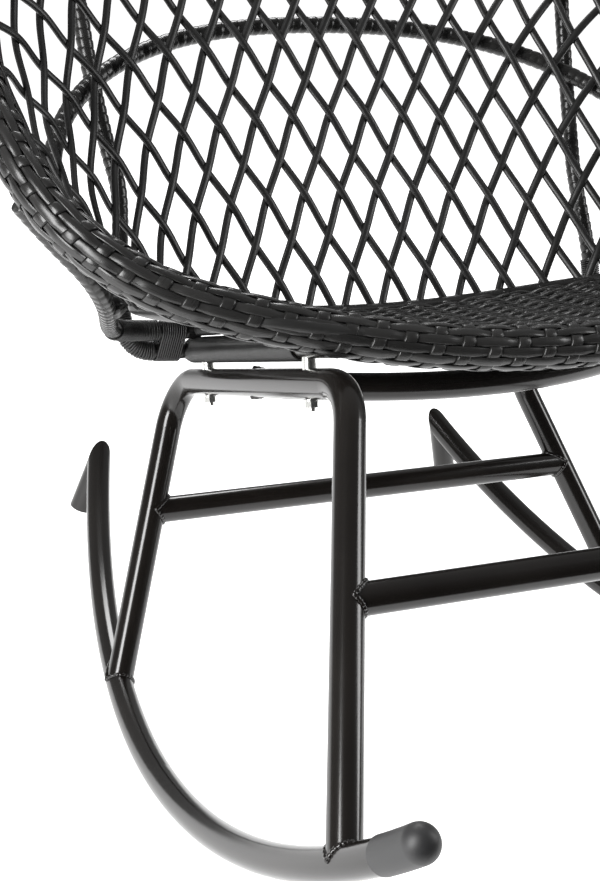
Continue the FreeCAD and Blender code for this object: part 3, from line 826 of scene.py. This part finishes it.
def guided_curve(points, directions):
    """A curve through points, leaving each one along its direction."""
    spans = []
    for a, b, go, stop in zip(points, points[1:], directions, directions[1:]):
        reach = np.linalg.norm(b - a)
        t = np.linspace(0, 1, CURVE_STEPS, endpoint=False)[:, None]
        spans.append(
            (2 * t ** 3 - 3 * t ** 2 + 1) * a + (t ** 3 - 2 * t ** 2 + t) * go * reach
            + (3 * t ** 2 - 2 * t ** 3) * b + (t ** 3 - t ** 2) * stop * reach)
    return np.concatenate(spans + [points[-1][None, :]])


def rib_line(root, places, shares, step_out):
    """A rib that stands step_out further from the wall half-way up than at its ends."""
    def climb(share):
        place = places[0] + (places[1] - places[0]) * share
        out = WALL_SKIN + FRAME_R + RIB_CLEAR + step_out * math.sin(math.pi * share)
        return wall(-place, share, out)

    points = [root, root + FOOT_WAY * FOOT_LENGTH] + [climb(share) for share in shares]
    directions = [FOOT_WAY, FOOT_WAY]
    for share in shares:
        directions.append(unit(climb(share + SHARE_NUDGE) - climb(share - SHARE_NUDGE)))
    return guided_curve(points, directions)


upper_root = foot_root + foot_up * FOOT_SPACING
hoop_step = 2 * HOOP_R - HOOP_NOTCH
rib_lines = [
    rib_line(upper_root, SIDE_RIB_PLACES, SIDE_RIB_SHARES, 0.0),
    rib_line(foot_root, BACK_RIB_PLACES, BACK_RIB_SHARES, hoop_step)]
grid_piece(
    "wrapped_ribs", both_sides([wrapped_bar(line, FRAME_R) for line in rib_lines]),
    strip_finish,
    ["left_side_rib", "right_side_rib", "left_back_rib", "right_back_rib"])

# %% [markdown]
# Each seat rail is wound with a fine strand, turn against turn, together with a thin rod on top
# of it. A winding is a helix: its points come from the rail's line plus a circle that keeps
# turning. The circle dips in at one angle, where the strand crosses the groove
# between the rail and the rod.

# %% Rail windings
RAIL_COVER_R = 12.5 * mm
COVER_FRONT = -52.0 * mm
COVER_REAR = 210.0 * mm
WINDING_PITCH = 2.7 * mm
WINDING_FILL = 0.47
WINDING_STEPS = 36
GROOVE_TURN = 0.80
GROOVE_WIDTH = 0.045
GROOVE_DEPTH = 2.0 * mm
FINE_SIDES = 8
winding_start = seat_rail(COVER_FRONT)
winding_length = float(np.linalg.norm(seat_rail(COVER_REAR) - winding_start))
winding_turns = int(winding_length / WINDING_PITCH)
rail_side = np.cross(top_way, rail_up)


def rail_winding():
    turn = np.linspace(0, winding_turns, winding_turns * WINDING_STEPS)
    angle = 2 * math.pi * turn
    off_groove = (turn - GROOVE_TURN + 0.5) % 1.0 - 0.5
    dip = GROOVE_DEPTH * np.exp(-(off_groove / GROOVE_WIDTH) ** 2)
    middle = winding_start + np.outer(turn / winding_turns * winding_length, top_way)
    ring = np.outer(np.cos(angle), rail_up) + np.outer(np.sin(angle), rail_side)
    path = middle + ring * (RAIL_COVER_R - WINDING_PITCH / 2 - dip)[:, None]
    return round_grid(path, WINDING_FILL * WINDING_PITCH, FINE_SIDES)


grid_piece(
    "rail_windings", both_sides([rail_winding()]), strand_finish,
    ["left_rail_winding", "right_rail_winding"])

# %% [markdown]
# Next to the lashing, the upper rib foot runs on a little way along the rail before it ends
# under the rim. It is wound too, so the wrapped rod of the ribs serves again, with a finer wrap.

# %% Tails of the ribs
TAIL_R = 6.5 * mm
TAIL_LIFT = 19.5 * mm
TAIL_LENGTH = 75.0 * mm
TAIL_WRAP = 3.2 * mm
TAIL_POINTS = 40
tail_start = foot_root + rail_up * TAIL_LIFT
tail_line = tail_start - np.outer(np.linspace(0, TAIL_LENGTH, TAIL_POINTS), top_way)
tail = wrapped_bar(tail_line, TAIL_R, TAIL_WRAP)
grid_piece("rib_tails", both_sides([tail]), strand_finish)

# %% [markdown]
# The two rib feet are lashed together by one cord that winds round both,
# so each turn is a flat oval: half a circle round one foot and half a circle round the other.

# %% Lashings
LASH_LOOPS = 11
LASH_CORD_R = 1.0 * mm
LASH_PITCH = 2.2 * mm
LASH_START = 16.0 * mm
LASH_CLEAR = 0.5 * mm
HALF_LOOP_POINTS = 16
foot_side = np.cross(FOOT_WAY, foot_up)


def lashing():
    wind_r = FRAME_R + LASH_CLEAR + LASH_CORD_R
    halves = []
    for start, middle in ((0.0, FOOT_SPACING), (math.pi, 0.0)):
        turn = np.linspace(0, math.pi, HALF_LOOP_POINTS) + start
        halves.append(np.stack([middle + wind_r * np.sin(turn), wind_r * np.cos(turn)], axis=-1))
    oval = np.concatenate(halves)
    loops = np.concatenate([oval] * LASH_LOOPS)
    forward = LASH_START + LASH_PITCH * np.arange(len(loops)) / len(oval)
    path = (
        foot_root + np.outer(forward, FOOT_WAY)
        + np.outer(loops[:, 0], foot_up) + np.outer(loops[:, 1], foot_side))
    return round_grid(path, LASH_CORD_R, FINE_SIDES)


grid_piece(
    "rib_foot_lashings", both_sides([lashing()]), strand_finish,
    ["left_lashing", "right_lashing"])

# %% [markdown]
# Where the ribs leave the lashing and bend up, the same cord goes on round each of them,
# turn against turn. The helix now follows a bent line, so its circle is drawn
# across the line at each point.

# %% Wraps on the rib bends
BEND_WRAP_START = 42.0 * mm
BEND_WRAP_END = 120.0 * mm
BEND_WRAP_STEPS = 20


def bend_wrap(line):
    """A cord wound tightly round a bent line."""
    turns = int((BEND_WRAP_END - BEND_WRAP_START) / LASH_PITCH)
    turn = np.linspace(0, turns, turns * BEND_WRAP_STEPS)
    angle = (2 * math.pi * turn)[:, None]
    middle = points_at(line, BEND_WRAP_START + turn * LASH_PITCH)
    side, other = path_frames(middle)
    ring = np.cos(angle) * side + np.sin(angle) * other
    return round_grid(middle + ring * (FRAME_R + LASH_CORD_R), LASH_CORD_R, FINE_SIDES)


bend_wraps = [bend_wrap(line) for line in rib_lines]
grid_piece("rib_bend_wraps", both_sides(bend_wraps), strand_finish)

# %% [markdown]
# The tubes are welded. A weld follows the line where one tube's skin meets the other's,
# so that line is worked out: from each point round the bar's end, go along the bar
# until the distance to the other tube's axis is its radius.

# %% Weld beads
RUNNER_FRONT_R = 740.0 * mm
FRONT_FOOT = -354.0 * mm
REAR_FOOT = 176.0 * mm
FRONT_BAR_HEIGHT = 248.0 * mm
REAR_BAR_HEIGHT = 193.0 * mm
BOW_FRONT = np.array([0.0, 13.0, 327.0]) * mm
BOW_END = 62.0 * mm
WELD_R = 2.2 * mm
WELD_POINTS = 120
WELD_RIPPLES = 30
RIPPLE_DEPTH = 0.12


def runner_radius(a):
    return RUNNER_REAR_R if a > 0 else RUNNER_FRONT_R


def runner_height(a):
    radius = runner_radius(a)
    return TUBE_R / math.cos(SPLAY) + radius - math.sqrt(radius ** 2 - a ** 2)


def runner_way(a):
    lift = a / runner_radius(a)
    return side_way * math.sqrt(1 - lift ** 2) + side_up * lift


def coped_seam(end, bar_way, other_way):
    """The line where a bar that ends on another tube's axis meets that tube's skin."""
    first = unit(np.cross(bar_way, other_way))
    second = np.cross(bar_way, first)
    turn = np.linspace(0, 2 * math.pi, WELD_POINTS, endpoint=False)
    ring = TUBE_R * (np.outer(np.cos(turn), first) + np.outer(np.sin(turn), second))
    bar_flat = bar_way - other_way * np.dot(bar_way, other_way)
    ring_flat = ring - np.outer(ring @ other_way, other_way)
    square = np.dot(bar_flat, bar_flat)
    lead = ring_flat @ bar_flat
    rest = TUBE_R ** 2 - (ring_flat ** 2).sum(axis=1)
    reach = (np.sqrt(np.maximum(lead ** 2 + square * rest, 0)) - lead) / square
    return end + ring + np.outer(reach, bar_way)


def weld_bead(end, bar_way, other_way):
    seam = coped_seam(end, bar_way, other_way)
    wave = np.cos(np.arange(len(seam)) * 2 * math.pi * WELD_RIPPLES / len(seam))
    radius = WELD_R * (1 + RIPPLE_DEPTH * wave)
    return round_grid(seam, radius[:, None], FINE_SIDES, closed=True)


welds = []
for foot, knee, bar_height in (
        (FRONT_FOOT, FRONT_CORNER, FRONT_BAR_HEIGHT), (REAR_FOOT, REAR_CORNER, REAR_BAR_HEIGHT)):
    foot_point = side_frame(foot, runner_height(foot))
    leg_way = unit(side_frame(*knee) - foot_point)
    share = (bar_height - runner_height(foot)) / (knee[1] - runner_height(foot))
    bar_end = side_frame(foot + (knee[0] - foot) * share, bar_height)
    welds.append(weld_bead(foot_point, leg_way, runner_way(foot)))
    welds.append(weld_bead(bar_end, X_WAY, leg_way))
bow_end = top_tube(BOW_END)
bow_sag = BOW_FRONT - bow_end * (0.0, 1.0, 1.0)
bow_turn = 2 * math.atan2(np.linalg.norm(bow_sag), -bow_end[0])
bow_way = math.cos(bow_turn) * X_WAY + math.sin(bow_turn) * unit(bow_sag)
welds.append(weld_bead(bow_end, bow_way, top_way))
grid_piece("weld_beads", both_sides(welds), paint_finish, closed=True)

# %% [markdown]
# The steel pieces, the caps and the fastenings are the construction model itself.
# They only take their finishes.

# %% Finishes of the construction pieces
SIDES = ("left_", "right_")


def finish_nodes(names, finish):
    for name in names:
        nodes[name].data.materials.clear()
        nodes[name].data.materials.append(finish)


painted = [
    side + piece for side in SIDES for piece in ("runner", "rear_stop", "leg_frame", "seat_rail")]
painted += ["front_crossbar", "rear_crossbar", "under_seat_bow", "rim_tube"]
finish_nodes(painted, paint_finish)
finish_nodes([side + "front_cap" for side in SIDES], cap_finish)
finish_nodes(["seat_studs", "seat_nuts", "seat_washers", "rail_spacers"], zinc_finish)
print("painted", len(painted), "steel pieces")
